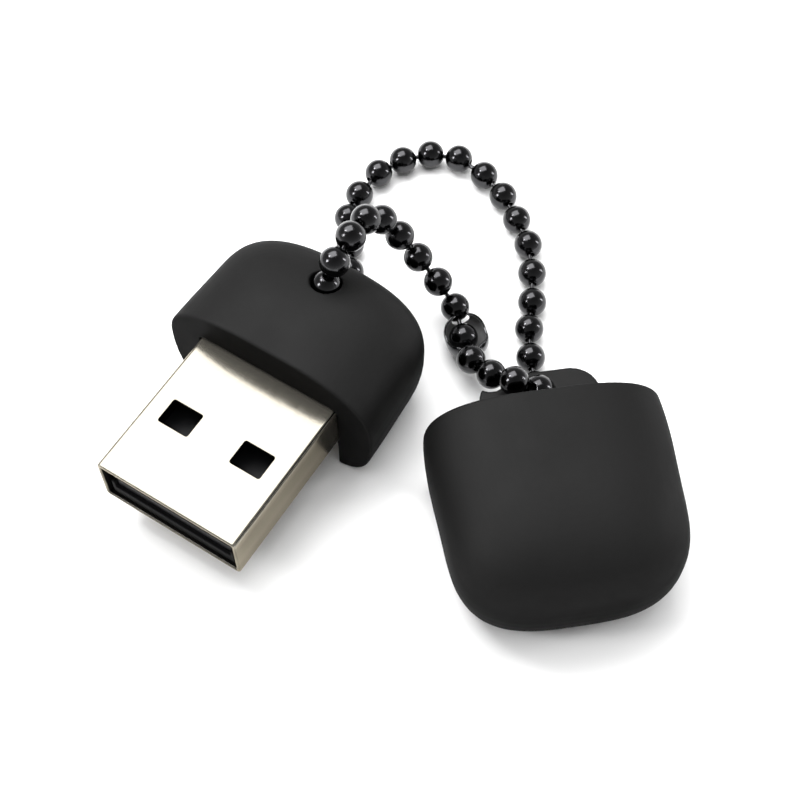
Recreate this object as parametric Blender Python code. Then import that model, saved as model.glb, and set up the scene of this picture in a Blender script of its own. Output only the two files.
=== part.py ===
"""USB flash drive with a pull-off cap on a ball chain.

The drive lies flat with its plug pointing along -Y. Its cap lies beside it, turned about Z, and the
chain runs as one loop through the hole in the drive and the hole in the cap's lug. Metres, +Z up,
with z = 0 on the surface that everything rests on and the origin in the middle of the footprint of
the drive and the cap.
"""
import math

import bmesh
import bpy
from mathutils import Matrix, Vector

MM = 0.001
GAP = 0.25                     # clearance between neighbouring pieces, in mm like every size below

# The drive's and the cap's own frames: each has its front face at y = 0 and its rounded end at +y.
DRIVE_AT = (-11.8, -1.54)
CAP_FROM_DRIVE = (18.55, 8.15)
CAP_TURN = 221.2               # degrees about Z

# Outer form of the drive's sleeve and the cap's sleeve: a flat belly, a crowned top and a plan that
# runs back from the flat front face and closes in a superellipse.
HALF_WIDTH = 9.0
MIDDLE_Z = 5.7                 # height of the widest level
CROWN = 5.4                    # rise of the top above it
DRIVE_TOP = (2.85, 2.5)        # powers of the top's cross-section: higher is squarer
CAP_TOP = (3.1, 2.55)
BELLY_RADIUS = 3.2
BELLY_POWER = 2.4
BELLY_INSETS = (BELLY_RADIUS, 1.7, 0.8, 0.22)
CROWN_INSETS = (0.25, 0.9, 2.0, 3.4, 5.0, 7.0)
# Length, where the end begins, its power, how far each side comes in toward the end and at the front.
DRIVE_FORM = (11.45, 5.9, 2.7, 0.3, 0.0)
CAP_FORM = (14.95, 7.4, 3.1, 0.4, 0.25)
TAPER_END = 0.35                      # share of the curved end over which the taper eases out
PINCH_END = 4.5                       # how far back the front is narrower
SIDE_STEPS = 6
END_STEPS = 12

# USB type A plug.
PLUG_WIDTH = 12.0
PLUG_HEIGHT = 4.5
PLUG_LENGTH = 12.5             # in front of the drive's front face
PLUG_TAIL = 4.3                # inside it
PLUG_WALL = 0.3
PLUG_RADIUS = 0.35
PLUG_Z = 3.2                   # underside of the shell
WINDOW = (2.5, 2.0)
WINDOW_FROM_TIP = 5.2
WINDOW_SPACING = 6.5

# Carrier inside the plug, and the circuit board that lies in it. Ranges are (low, high).
TRAY_HALF = 5.4
TRAY_Y = (-12.2, 4.0)
TRAY_Z = (3.65, 5.3)
TRAY_WINDOW = (4.3, (-8.6, 3.2))      # half width and range in y, open for the chips
SEAT = 0.1                            # between the board and what is on it or around it
BOARD_HALF = 5.0
BOARD_Y = (-11.9, 5.1)
BOARD_Z = (4.65, 5.35)
CONTACT_BACK = -7.7
CONTACT_THICKNESS = 0.15
CONTACTS = (                          # middle, width, front
    ("contact_power", -3.5, 1.2, -11.1), ("contact_data_minus", -1.0, 1.0, -10.1),
    ("contact_data_plus", 1.0, 1.0, -10.1), ("contact_ground", 3.5, 1.2, -11.1),
)
CHIP_THICKNESS = 0.75
CHIPS = (("flash_chip", 4.0, (-8.2, -2.2)), ("controller_chip", 2.0, (-1.4, 2.6)))
CRYSTAL = (1.6, (0.2, 2.7), 0.7)      # half width, range in y, height
SMALL_PART = (0.5, 0.25)              # half length and half width
CAPACITOR_HEIGHT = 0.5
RESISTOR_HEIGHT = 0.35
SMALL_X = 3.2
CAPACITORS_Y = (0.8, 2.6)
RESISTORS_Y = 1.7

# Hard core inside the drive's sleeve.
CORE = (6.6, 1.2, 9.4, 3.0)           # half width, front, back, radius of its back corners
CORE_LOWER_Z = (2.4, 5.4)
CORE_UPPER_Z = (5.6, 8.4)
POCKET = (5.3, (1.0, 5.45), (4.3, 6.9))   # for the board: half width, range in y, range in z

# Hard liner in the cap's mouth, and the depth of the cap's hollow.
LINER_HALF = 6.8
LINER_Z = (1.9, 8.5)
LINER_DEPTH = 8.5
PLUG_ROOM = 12.8

# Chain of balls.
BALL = 2.3
HOLE_RADIUS = 1.25
HOLE = (0.25, 7.55)            # middle of the drive's hole
SWEPT_RADIUS = 1.5             # of the way kept open for the chain

# Lug on the cap, under the level of the plug and a little to one side of the middle.
LUG = (9.4, 6.1)
LUG_SHIFT = 1.0
LUG_Z = (2.15, 2.95)
LUG_HOLE_OUT = 4.4
LUG_CORNER = 2.2
LUG_ROOT = 0.4                 # how far it reaches into the liner
LUG_HOLE_RADIUS = 1.25
RECESS_DEPTH = 6.5
RECESS_HEADROOM = 0.15

# The rear chain runs from its connector over the drive's back edge, down through the drive and
# along the surface to the middle of the arc. Points in the drive's frame.
REAR_ROUTE = [
    (6.8, 15.7, 1.9), (6.0, 15.9, 2.7), (4.9, 16.0, 3.8), (2.9, 16.1, 5.6), (1.4, 15.8, 7.7),
    (0.4, 15.0, 9.8), (0.1, 13.3, 11.6), (0.35, 11.0, 12.5), (0.55, 9.1, 12.5), (0.35, 7.8, 11.5),
    (0.25, 7.55, 10.0), (0.25, 7.55, 7.5), (0.2, 7.7, 4.9), (-0.1, 8.6, 3.1), (-0.7, 10.2, 1.9),
    (-1.5, 12.3, 1.3), (-2.7, 14.8, 1.15), (-4.3, 17.2, 1.15), (-5.7, 19.1, 1.15), (-6.2, 21.5, 1.15),
    (-6.1, 24.2, 1.15), (-5.0, 26.7, 1.15), (-3.4, 28.4, 1.15), (-1.1, 29.3, 1.15), (0.4, 29.3, 1.15),
]
# The front chain goes on from there to the cap, up through its lug and back to the connector.
FRONT_ROUTE = [
    (0.8, 29.2, 1.15), (1.6, 28.9, 1.15), (4.0, 27.9, 1.15), (6.2, 26.4, 1.15), (8.3, 24.7, 1.15),
    (10.0, 22.4, 1.15), (11.4, 20.0, 1.15), (12.5, 17.6, 1.15), (13.9, 15.4, 1.15), (15.3, 13.6, 1.15),
    (16.3, 12.5, 1.8), (16.5, 11.9, 3.1), (15.7, 11.3, 4.2), (14.5, 11.1, 4.2),
    (12.9, 11.35, 3.0), (11.5, 11.75, 2.7), (10.4, 12.05, 2.35),
]
CONNECTOR = ((7.5, 15.2), (10.1, 12.8))   # its two ends, in the drive's frame
CONNECTOR_RADIUS = 1.7
CONNECTOR_WALL = 0.25
CONNECTOR_MOUTH = 0.85             # radius of the opening in each end
CONNECTOR_SLOT = 0.8               # half width of the slot along its top

COLOURS = {
    "rubber": ((0.030, 0.030, 0.031), 0.60, 0.0),
    "black_plastic": ((0.022, 0.022, 0.023), 0.45, 0.0),
    "steel": ((0.78, 0.77, 0.75), 0.22, 1.0),
    "gold": ((0.83, 0.62, 0.25), 0.25, 1.0),
    "board": ((0.02, 0.10, 0.05), 0.50, 0.0),
    "chip": ((0.025, 0.025, 0.025), 0.55, 0.0),
    "ceramic": ((0.42, 0.30, 0.20), 0.50, 0.0),
    "dark_chrome": ((0.16, 0.16, 0.17), 0.12, 1.0),
}


def clear_scene():
    for thing in list(bpy.data.objects):
        bpy.data.objects.remove(thing, do_unlink=True)


def material(name):
    found = bpy.data.materials.get(name)
    if found:
        return found
    made = bpy.data.materials.new(name)
    made.use_nodes = True
    shader = made.node_tree.nodes["Principled BSDF"]
    colour, roughness, metallic = COLOURS[name]
    shader.inputs["Base Color"].default_value = (*colour, 1.0)
    shader.inputs["Roughness"].default_value = roughness
    shader.inputs["Metallic"].default_value = metallic
    return made


def frame_empty(name, frame_at, turn, pivot):
    """An empty at the pivot, a point of a frame. Its pieces keep that frame's own coordinates."""
    empty = bpy.data.objects.new(name, None)
    bpy.context.collection.objects.link(empty)
    angle = math.radians(turn)
    x = frame_at[0] + pivot[0] * math.cos(angle) - pivot[1] * math.sin(angle)
    y = frame_at[1] + pivot[0] * math.sin(angle) + pivot[1] * math.cos(angle)
    empty.location = (x * MM, y * MM, 0.0)
    empty.rotation_euler = (0.0, 0.0, angle)
    empty["offset"] = (-pivot[0] * MM, -pivot[1] * MM, 0.0)
    return empty


def put(thing, parent):
    """Link a new object and hang it on its frame's empty."""
    bpy.context.collection.objects.link(thing)
    thing.parent = parent
    thing.location = parent["offset"]


def add_object(name, bm, colour, parent):
    """A mesh object from a bmesh whose points are in mm, in its frame's coordinates."""
    bmesh.ops.recalc_face_normals(bm, faces=bm.faces)
    bmesh.ops.scale(bm, vec=(MM, MM, MM), verts=bm.verts)
    mesh = bpy.data.meshes.new(name)
    bm.to_mesh(mesh)
    bm.free()
    thing = bpy.data.objects.new(name, mesh)
    put(thing, parent)
    if colour:
        mesh.materials.append(material(colour))
    return thing


def smooth(thing, angle=35.0):
    thing.data.shade_smooth()
    thing.data.set_sharp_from_angle(angle=math.radians(angle))


def cutter(name, bm, parent):
    """A body that only Booleans use."""
    thing = add_object(name, bm, None, parent)
    thing.hide_render = True
    thing.display_type = "WIRE"
    return thing


def cut(thing, tool):
    boolean = thing.modifiers.new(tool.name, "BOOLEAN")
    boolean.operation = "DIFFERENCE"
    boolean.solver = "EXACT"
    boolean.object = tool


def box_mesh(low, high):
    """A box between two corners."""
    bm = bmesh.new()
    bmesh.ops.create_cube(bm, size=1.0)
    size = [h - l for l, h in zip(low, high)]
    middle = [(h + l) / 2 for l, h in zip(low, high)]
    bmesh.ops.scale(bm, vec=size, verts=bm.verts)
    bmesh.ops.translate(bm, vec=middle, verts=bm.verts)
    return bm


def post_mesh(x, y, radius, low, high, sides=32):
    """An upright cylinder."""
    bm = bmesh.new()
    bmesh.ops.create_cone(bm, cap_ends=True, segments=sides, radius1=radius, radius2=radius,
                          depth=high - low)
    bmesh.ops.translate(bm, vec=(x, y, (low + high) / 2), verts=bm.verts)
    return bm


def prism(outline, low, high, axis="Z"):
    """A closed outline of (a, b) points extruded along Z, or along Y from low to high."""
    bm = bmesh.new()
    place = {"Z": lambda a, b, c: (a, b, c), "Y": lambda a, b, c: (a, c, b)}[axis]
    ends = [[bm.verts.new(place(a, b, level)) for a, b in outline] for level in (low, high)]
    bm.faces.new(ends[0])
    bm.faces.new(ends[1])
    count = len(outline)
    for i in range(count):
        j = (i + 1) % count
        bm.faces.new((ends[0][i], ends[0][j], ends[1][j], ends[1][i]))
    return bm


def rounded_rectangle(half_a, low_b, high_b, radius, steps=4):
    """Outline of a rectangle with round corners, anticlockwise."""
    points = []
    corners = ((half_a - radius, high_b - radius, 0), (radius - half_a, high_b - radius, 90),
               (radius - half_a, low_b + radius, 180), (half_a - radius, low_b + radius, 270))
    for a, b, start in corners:
        for i in range(steps + 1):
            angle = math.radians(start + 90 * i / steps)
            points.append((a + radius * math.cos(angle), b + radius * math.sin(angle)))
    return points


def narrowing(form, y):
    """How much a side has come in at y: at the front face, and toward the end, where it eases out."""
    length, start, _, taper, pinch = form
    way = min(1.0, y / (start + TAPER_END * (length - start)))
    return taper * way * way * (3 - 2 * way) + pinch * max(0.0, 1 - y / PINCH_END) ** 2


def plan_half(form, inset):
    """Right half of the plan outline, from the front face round to the middle of the end."""
    length, start, power, _, _ = form
    share = 1 - inset / HALF_WIDTH
    half = HALF_WIDTH * share
    depth = (length - start) * share
    begin = length - inset - depth
    points = []
    for i in range(SIDE_STEPS):
        y = begin * i / SIDE_STEPS
        points.append((half - share * narrowing(form, y), y))
    for i in range(END_STEPS + 1):
        angle = math.radians(90 * i / END_STEPS)
        y = begin + depth * math.sin(angle) ** (2 / power)
        x = (half - share * narrowing(form, y)) * max(math.cos(angle), 0.0) ** (2 / power)
        points.append((x, y))
    points[-1] = (0.0, points[-1][1])
    return points


def pillow(form, top):
    """The outer form of a sleeve: its plan at each level, from the belly to the crown."""
    bm = bmesh.new()
    levels = []
    for inset in BELLY_INSETS:
        fall = MIDDLE_Z * (1 - (1 - inset / BELLY_RADIUS) ** BELLY_POWER) ** (1 / BELLY_POWER)
        levels.append((inset, MIDDLE_Z - fall))
    levels.append((0.0, MIDDLE_Z))
    for inset in CROWN_INSETS:
        share = 1 - inset / HALF_WIDTH
        rise = CROWN * (1 - share ** top[0]) ** (1 / top[1])
        levels.append((inset, MIDDLE_Z + rise))
    rings = []
    for inset, z in levels:
        right = plan_half(form, inset)
        left = [(-x, y) for x, y in reversed(right[:-1])]
        rings.append([bm.verts.new((x, y, z)) for x, y in right + left])
    for low, high in zip(rings, rings[1:]):
        for i in range(len(low) - 1):
            bm.faces.new((low[i], low[i + 1], high[i + 1], high[i]))
    bm.faces.new(rings[0])
    bm.faces.new(rings[-1])
    bm.faces.new([ring[0] for ring in rings] + [ring[-1] for ring in reversed(rings)])
    return bm


def smooth_line(points, step):
    """Points about step apart on a smooth curve through the given ones."""
    points = [Vector(p) for p in points]
    ends = [2 * points[0] - points[1], *points, 2 * points[-1] - points[-2]]
    dense = []
    for i in range(1, len(ends) - 2):
        a, b, c, d = ends[i - 1:i + 3]
        for k in range(20):
            t = k / 20
            dense.append(0.5 * (2 * b + (c - a) * t + (2 * a - 5 * b + 4 * c - d) * t ** 2
                                + (3 * b - a - 3 * c + d) * t ** 3))
    dense.append(points[-1])
    along = [0.0]
    for a, b in zip(dense, dense[1:]):
        along.append(along[-1] + (b - a).length)
    count = max(2, round(along[-1] / step))
    line, at = [], 0
    for k in range(count + 1):
        want = along[-1] * k / count
        while at < len(along) - 2 and along[at + 1] < want:
            at += 1
        share = (want - along[at]) / (along[at + 1] - along[at])
        line.append(dense[at].lerp(dense[at + 1], share))
    return line


def tube(name, route, radius, parent, colour):
    """A tube along a route, as a curve with filled ends."""
    curve = bpy.data.curves.new(name, "CURVE")
    curve.dimensions = "3D"
    spline = curve.splines.new("POLY")
    line = smooth_line(route, BALL * 0.55)
    spline.points.add(len(line) - 1)
    for point, place in zip(spline.points, line):
        point.co = (*(place * MM), 1.0)
    curve.bevel_depth = radius * MM
    curve.bevel_resolution = 2
    curve.use_fill_caps = True
    thing = bpy.data.objects.new(name, curve)
    put(thing, parent)
    curve.materials.append(material(colour))


def swept_mesh(route, radius, sides=12):
    """The same kind of tube as a closed mesh, which a Boolean can take."""
    line = smooth_line(route, BALL * 0.55)
    bm = bmesh.new()
    rings = []
    side = Vector((1.0, 0.0, 0.0))
    for i, place in enumerate(line):
        along = (line[min(i + 1, len(line) - 1)] - line[max(i - 1, 0)]).normalized()
        side = (side - along * side.dot(along)).normalized()
        up = along.cross(side)
        ring = []
        for k in range(sides):
            angle = 2 * math.pi * k / sides
            ring.append(bm.verts.new(place + radius * (math.cos(angle) * side + math.sin(angle) * up)))
        rings.append(ring)
    for low, high in zip(rings, rings[1:]):
        for k in range(sides):
            j = (k + 1) % sides
            bm.faces.new((low[k], low[j], high[j], high[k]))
    bm.faces.new(rings[0])
    bm.faces.new(rings[-1])
    return bm


def lathe(profile, sides=24):
    """A closed (radius, height) profile turned about Z."""
    bm = bmesh.new()
    rings = []
    for k in range(sides):
        angle = 2 * math.pi * k / sides
        rings.append([bm.verts.new((r * math.cos(angle), r * math.sin(angle), z)) for r, z in profile])
    for k in range(sides):
        near, far = rings[k], rings[(k + 1) % sides]
        for i in range(len(profile)):
            j = (i + 1) % len(profile)
            bm.faces.new((near[i], far[i], far[j], near[j]))
    return bm


def plug_outline(inset):
    return rounded_rectangle(PLUG_WIDTH / 2 - inset, PLUG_Z + inset, PLUG_Z + PLUG_HEIGHT - inset,
                             max(PLUG_RADIUS - inset, 0.3))


def plug_hole(name, length, parent):
    """Cutter for the room that the plug needs behind a front face."""
    room = rounded_rectangle(PLUG_WIDTH / 2 + GAP, PLUG_Z - GAP, PLUG_Z + PLUG_HEIGHT + GAP,
                             PLUG_RADIUS + GAP)
    return cutter(name, prism(room, -1.0, length, "Y"), parent)


def make_plug_shell(parent):
    """Folded sheet steel, a rectangular tube with two windows above and two below."""
    outside = prism(plug_outline(0.0), -PLUG_LENGTH, PLUG_TAIL, "Y")
    shell = add_object("plug_shell", outside, "steel", parent)
    inside = prism(plug_outline(PLUG_WALL), -PLUG_LENGTH - 1, PLUG_TAIL + 1, "Y")
    cut(shell, cutter("plug_inside", inside, parent))
    start = WINDOW_FROM_TIP - PLUG_LENGTH
    for number, x in enumerate((-WINDOW_SPACING / 2, WINDOW_SPACING / 2)):
        low = (x - WINDOW[0] / 2, start, PLUG_Z - 1)
        high = (x + WINDOW[0] / 2, start + WINDOW[1], PLUG_Z + PLUG_HEIGHT + 1)
        cut(shell, cutter(f"plug_window_{number + 1}", box_mesh(low, high), parent))
    return shell


def make_plug_tray(parent):
    """Plastic carrier that the board lies in, open under the chips."""
    block = box_mesh((-TRAY_HALF, TRAY_Y[0], TRAY_Z[0]), (TRAY_HALF, TRAY_Y[1], TRAY_Z[1]))
    tray = add_object("plug_tray", block, "black_plastic", parent)
    side = BOARD_HALF + SEAT
    channel = box_mesh((-side, TRAY_Y[0] - 1, BOARD_Z[0] - SEAT), (side, TRAY_Y[1] + 1, TRAY_Z[1] + 1))
    cut(tray, cutter("tray_channel", channel, parent))
    half, (front, back) = TRAY_WINDOW
    window = box_mesh((-half, front, TRAY_Z[0] - 1), (half, back, BOARD_Z[0]))
    cut(tray, cutter("tray_window", window, parent))


def make_board(parent):
    """The circuit board with its contacts, chips and small parts."""
    low = (-BOARD_HALF, BOARD_Y[0], BOARD_Z[0])
    high = (BOARD_HALF, BOARD_Y[1], BOARD_Z[1])
    add_object("circuit_board", box_mesh(low, high), "board", parent)
    top = BOARD_Z[1] + SEAT
    for name, x, width, front in CONTACTS:
        low = (x - width / 2, front, top)
        high = (x + width / 2, CONTACT_BACK, top + CONTACT_THICKNESS)
        add_object(name, box_mesh(low, high), "gold", parent)
    under = BOARD_Z[0] - SEAT
    for name, half, (front, back) in CHIPS:
        block = box_mesh((-half, front, under - CHIP_THICKNESS), (half, back, under))
        add_object(name, block, "chip", parent)
    half, (front, back), height = CRYSTAL
    add_object("crystal", box_mesh((-half, front, top), (half, back, top + height)), "steel", parent)
    for number, y in enumerate(CAPACITORS_Y):
        add_small_part(f"capacitor_{2 * number + 1}", -SMALL_X, y, top, CAPACITOR_HEIGHT, "ceramic", parent)
        add_small_part(f"capacitor_{2 * number + 2}", SMALL_X, y, top, CAPACITOR_HEIGHT, "ceramic", parent)
    add_small_part("resistor_1", -SMALL_X, RESISTORS_Y, top, RESISTOR_HEIGHT, "chip", parent)
    add_small_part("resistor_2", SMALL_X, RESISTORS_Y, top, RESISTOR_HEIGHT, "chip", parent)


def add_small_part(name, x, y, bottom, height, colour, parent):
    """A surface-mounted block with its length along X."""
    low = (x - SMALL_PART[0], y - SMALL_PART[1], bottom)
    high = (x + SMALL_PART[0], y + SMALL_PART[1], bottom + height)
    add_object(name, box_mesh(low, high), colour, parent)


def core_outline(grow):
    """Plan of the core: square in front, round corners at the back."""
    half, front, back, radius = CORE[0] + grow, CORE[1] - grow, CORE[2] + grow, CORE[3] + grow
    points = [(-half, front), (half, front)]
    for centre, start in (((half - radius, back - radius), 0), ((radius - half, back - radius), 90)):
        for i in range(7):
            angle = math.radians(start + 15 * i)
            points.append((centre[0] + radius * math.cos(angle), centre[1] + radius * math.sin(angle)))
    return points


def drive_cutters(parent):
    """What is taken out of the drive's sleeve and out of its core."""
    post = post_mesh(*HOLE, HOLE_RADIUS, -1.0, 14.0)
    low, high = LUG_SHIFT - LUG[0] / 2 - GAP, LUG_SHIFT + LUG[0] / 2 + GAP
    recess = box_mesh((low, -1.0, -1.0), (high, RECESS_DEPTH, LUG_Z[1] + RECESS_HEADROOM))
    return {
        "hole": cutter("chain_hole", post, parent),
        "way": cutter("chain_way", swept_mesh(REAR_ROUTE, SWEPT_RADIUS), parent),
        "recess": cutter("lug_recess", recess, parent),
        "plug": plug_hole("plug_passage", PLUG_TAIL + 2 * GAP, parent),
    }


def make_drive_sleeve(parent, tools):
    """Soft rubber overmould, one piece, with the plug's opening in its flat front."""
    sleeve = add_object("drive_sleeve", pillow(DRIVE_FORM, DRIVE_TOP), "rubber", parent)
    room = prism(core_outline(GAP), CORE_LOWER_Z[0] - GAP, CORE_UPPER_Z[1] + GAP)
    cut(sleeve, cutter("core_room", room, parent))
    for name in ("plug", "recess", "hole", "way"):
        cut(sleeve, tools[name])
    smooth(sleeve)
    return sleeve


def make_drive_core(parent, tools):
    """Hard plastic clamshell inside the sleeve, which grips the plug's tail."""
    side, (front, back), (bottom, ceiling) = POCKET
    pocket = cutter("board_pocket", box_mesh((-side, front, bottom), (side, back, ceiling)), parent)
    for name, levels in (("core_lower", CORE_LOWER_Z), ("core_upper", CORE_UPPER_Z)):
        half = add_object(name, prism(core_outline(0.0), *levels), "black_plastic", parent)
        for tool in (tools["plug"], pocket, tools["hole"], tools["way"]):
            cut(half, tool)
        if name == "core_lower":
            cut(half, tools["recess"])


def make_cap(parent):
    """The cap's rubber sleeve and the hard liner in its mouth, which carries the lug."""
    sleeve = add_object("cap_sleeve", pillow(CAP_FORM, CAP_TOP), "rubber", parent)
    low = (-LINER_HALF - GAP, -1.0, LINER_Z[0] - GAP)
    high = (LINER_HALF + GAP, LINER_DEPTH + GAP, LINER_Z[1] + GAP)
    cut(sleeve, cutter("liner_room", box_mesh(low, high), parent))
    hollow = plug_hole("cap_hollow", PLUG_ROOM, parent)
    cut(sleeve, hollow)
    smooth(sleeve)
    block = box_mesh((-LINER_HALF, 0.0, LINER_Z[0]), (LINER_HALF, LINER_DEPTH, LINER_Z[1]))
    liner = add_object("cap_liner", block, "black_plastic", parent)
    lug = cutter("lug_blank", prism(lug_outline(), LUG_Z[0], LUG_Z[1]), parent)
    join = liner.modifiers.new("lug", "BOOLEAN")
    join.operation = "UNION"
    join.solver = "EXACT"
    join.object = lug
    cut(liner, hollow)
    post = post_mesh(-LUG_SHIFT, -LUG_HOLE_OUT, LUG_HOLE_RADIUS, LUG_Z[0] - 1, LUG_Z[1] + 1)
    cut(liner, cutter("lug_hole", post, parent))
    return liner


def lug_outline():
    """Plan of the lug, with round outer corners, reaching a little into the liner."""
    left, right = -LUG_SHIFT - LUG[0] / 2, -LUG_SHIFT + LUG[0] / 2
    points = [(right, LUG_ROOT), (left, LUG_ROOT)]
    for x, start in ((left + LUG_CORNER, 180), (right - LUG_CORNER, 270)):
        for i in range(7):
            angle = math.radians(start + 15 * i)
            y = LUG_CORNER - LUG[1] + LUG_CORNER * math.sin(angle)
            points.append((x + LUG_CORNER * math.cos(angle), y))
    return points


def make_connector(parent):
    """Barrel with two cups that the chain's end balls snap into, slotted along its top."""
    (x0, y0), (x1, y1) = CONNECTOR
    half = math.hypot(x1 - x0, y1 - y0) / 2
    wall = CONNECTOR_WALL
    outside = [(CONNECTOR_MOUTH, half), (1.3, half - 0.15), (CONNECTOR_RADIUS, half - 0.7)]
    inside = [(CONNECTOR_MOUTH, half - wall), (1.15, half - 0.35), (CONNECTOR_RADIUS - wall, half - 0.8)]
    profile = [(r, -z) for r, z in outside] + outside[::-1] + inside + [(r, -z) for r, z in inside[::-1]]
    bm = lathe(profile)
    end = inside[-1][1]
    opening = box_mesh((-CONNECTOR_SLOT, wall, -end), (CONNECTOR_SLOT, 2 * CONNECTOR_RADIUS, end))
    lie = Matrix.Rotation(math.atan2(x1 - x0, y0 - y1), 4, "Z") @ Matrix.Rotation(math.pi / 2, 4, "X")
    middle = Matrix.Translation(((x0 + x1) / 2, (y0 + y1) / 2, CONNECTOR_RADIUS))
    for piece in (bm, opening):
        piece.transform(middle @ lie)
    barrel = add_object("chain_connector", bm, "dark_chrome", parent)
    cut(barrel, cutter("connector_slot", opening, parent))
    smooth(barrel)


def main():
    clear_scene()
    drive = frame_empty("drive_frame", DRIVE_AT, 0.0, (0.0, 0.0))
    chain = frame_empty("chain_pivot", DRIVE_AT, 0.0, HOLE)
    cap_at = (DRIVE_AT[0] + CAP_FROM_DRIVE[0], DRIVE_AT[1] + CAP_FROM_DRIVE[1])
    cap = frame_empty("cap_pivot", cap_at, CAP_TURN, (-LUG_SHIFT, -LUG_HOLE_OUT))
    tools = drive_cutters(drive)
    make_drive_sleeve(drive, tools)
    make_drive_core(drive, tools)
    make_plug_shell(drive)
    make_plug_tray(drive)
    make_board(drive)
    liner = make_cap(cap)
    cut(liner, cutter("lug_chain_way", swept_mesh(FRONT_ROUTE, SWEPT_RADIUS), drive))
    tube("chain_rear", REAR_ROUTE, BALL / 2, chain, "dark_chrome")
    tube("chain_front", FRONT_ROUTE, BALL / 2, chain, "dark_chrome")
    make_connector(chain)


main()
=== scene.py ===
"""USB flash drive with its cap beside it and one loop of ball chain through both.

Finished surfaces, materials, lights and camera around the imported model. Sizes are in millimetres
and are turned into metres where a piece is made. Each piece is built in the drive's frame, with
y = 0 on its front face and its plug along -Y, or in the cap's frame, with y = 0 on its mouth.
"""
import math

import bmesh
import bpy
from mathutils import Matrix, Vector
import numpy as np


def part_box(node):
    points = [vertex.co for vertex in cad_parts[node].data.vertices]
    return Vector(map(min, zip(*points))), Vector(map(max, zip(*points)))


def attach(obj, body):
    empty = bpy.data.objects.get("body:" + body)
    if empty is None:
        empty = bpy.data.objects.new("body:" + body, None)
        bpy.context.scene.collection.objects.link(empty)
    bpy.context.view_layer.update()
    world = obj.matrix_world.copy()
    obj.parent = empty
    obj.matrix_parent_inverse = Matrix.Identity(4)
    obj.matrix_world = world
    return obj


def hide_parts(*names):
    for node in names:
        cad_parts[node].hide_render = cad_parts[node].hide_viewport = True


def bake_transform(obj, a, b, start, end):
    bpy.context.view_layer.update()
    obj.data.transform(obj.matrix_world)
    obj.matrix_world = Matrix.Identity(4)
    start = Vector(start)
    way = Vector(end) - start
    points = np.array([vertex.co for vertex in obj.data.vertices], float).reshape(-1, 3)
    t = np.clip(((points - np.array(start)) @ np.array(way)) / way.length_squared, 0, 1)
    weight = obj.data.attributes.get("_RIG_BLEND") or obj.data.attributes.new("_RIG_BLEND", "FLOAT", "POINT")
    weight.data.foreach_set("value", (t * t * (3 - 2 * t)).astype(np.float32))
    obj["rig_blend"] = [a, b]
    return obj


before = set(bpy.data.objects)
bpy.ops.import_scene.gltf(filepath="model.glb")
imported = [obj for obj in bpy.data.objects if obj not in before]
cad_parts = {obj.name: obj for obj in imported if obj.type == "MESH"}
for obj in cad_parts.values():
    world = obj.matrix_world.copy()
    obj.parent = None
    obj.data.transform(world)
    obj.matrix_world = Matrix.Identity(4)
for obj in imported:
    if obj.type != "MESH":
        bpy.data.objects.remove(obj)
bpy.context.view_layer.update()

MM = 0.001
DRIVE_AT = (-11.8, -1.54)
CAP_FROM_DRIVE = (18.55, 8.15)
CAP_TURN = math.radians(221.2)
DRIVE_FRAME = Matrix.Translation((*DRIVE_AT, 0.0))
CAP_FRAME = (DRIVE_FRAME @ Matrix.Translation((*CAP_FROM_DRIVE, 0.0))
             @ Matrix.Rotation(CAP_TURN, 4, "Z"))

# Covers: a flat belly, a crowned top, a plan that closes in a superellipse.
HALF_WIDTH = 9.0
MIDDLE_Z = 5.7
CROWN = 5.4
DRIVE_CROWN = (2.85, 2.5)                # powers of the top's cross-section
CAP_CROWN = (3.1, 2.55)
BELLY_RADIUS = 3.2
BELLY_POWER = 2.4
# Length, where the end begins, its power, how far each side comes in toward the end and at the front.
DRIVE_FORM = (11.45, 5.9, 2.7, 0.3, 0.0)
CAP_FORM = (14.95, 7.4, 3.1, 0.4, 0.25)
TAPER_END = 0.35                         # share of the curved end over which the taper eases out
PINCH_END = 4.5                          # how far back the front is narrower
FRONT_EDGE = 0.14                        # radius of the edge round the flat front
FRONT_ROWS = (0.0, 0.15, 0.4, 0.7, 1.0)  # shares of the front edge
SIDE_ROWS = 10
END_ROWS = 30
BELLY_LEVELS = 12
CROWN_LEVELS = 22
CROWN_END = 86                           # degrees of the crown that its levels cover
COVER_VOXEL = 0.11
FIT = 0.12                               # between a cover and what comes out of it
GAP = 0.25

PLUG = (12.0, 4.5, 12.5, 4.3)            # width, height, length in front, length inside
PLUG_Z = 3.2
PLUG_WALL = 0.3
PLUG_RADIUS = 0.3
PLUG_PASSAGE = 4.8                       # depth of its opening in the drive's cover
PLUG_EDGE = 0.035                        # bevel of its cut edges
# Section of the sheet's rounded front edge: distance inside the outer surface, distance from the tip.
PLUG_MOUTH = ((0.0, 0.12), (0.03, 0.05), (0.09, 0.0), (PLUG_WALL - 0.08, 0.0), (PLUG_WALL - 0.02, 0.05),
              (PLUG_WALL, 0.12), (PLUG_WALL, 0.6))
SHADE_PAINTED_FROM = (0.04, 0.15)                 # depth in the sheet, distance from the tip: beyond both the sheet is near black, painted shade inside the plug
WINDOWS_X = (-3.17, 3.13)
WINDOW = (2.65, 2.12, 0.2)               # width, length, corner radius
WINDOW_Y = -6.3
SEAM = ((4.0, 0.07), (-3.0, 0.055), (-12.2, 0.035))   # y and half width
SEAM_ANGLE = 50                          # degrees from the side, round the upper right corner
SEAM_DEPTH = 0.2
CARRIER_WINDOW = ((-4.3, -8.6), (4.3, 3.2))
BOARD_FIT = 0.1                          # between the board and its carrier

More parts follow.
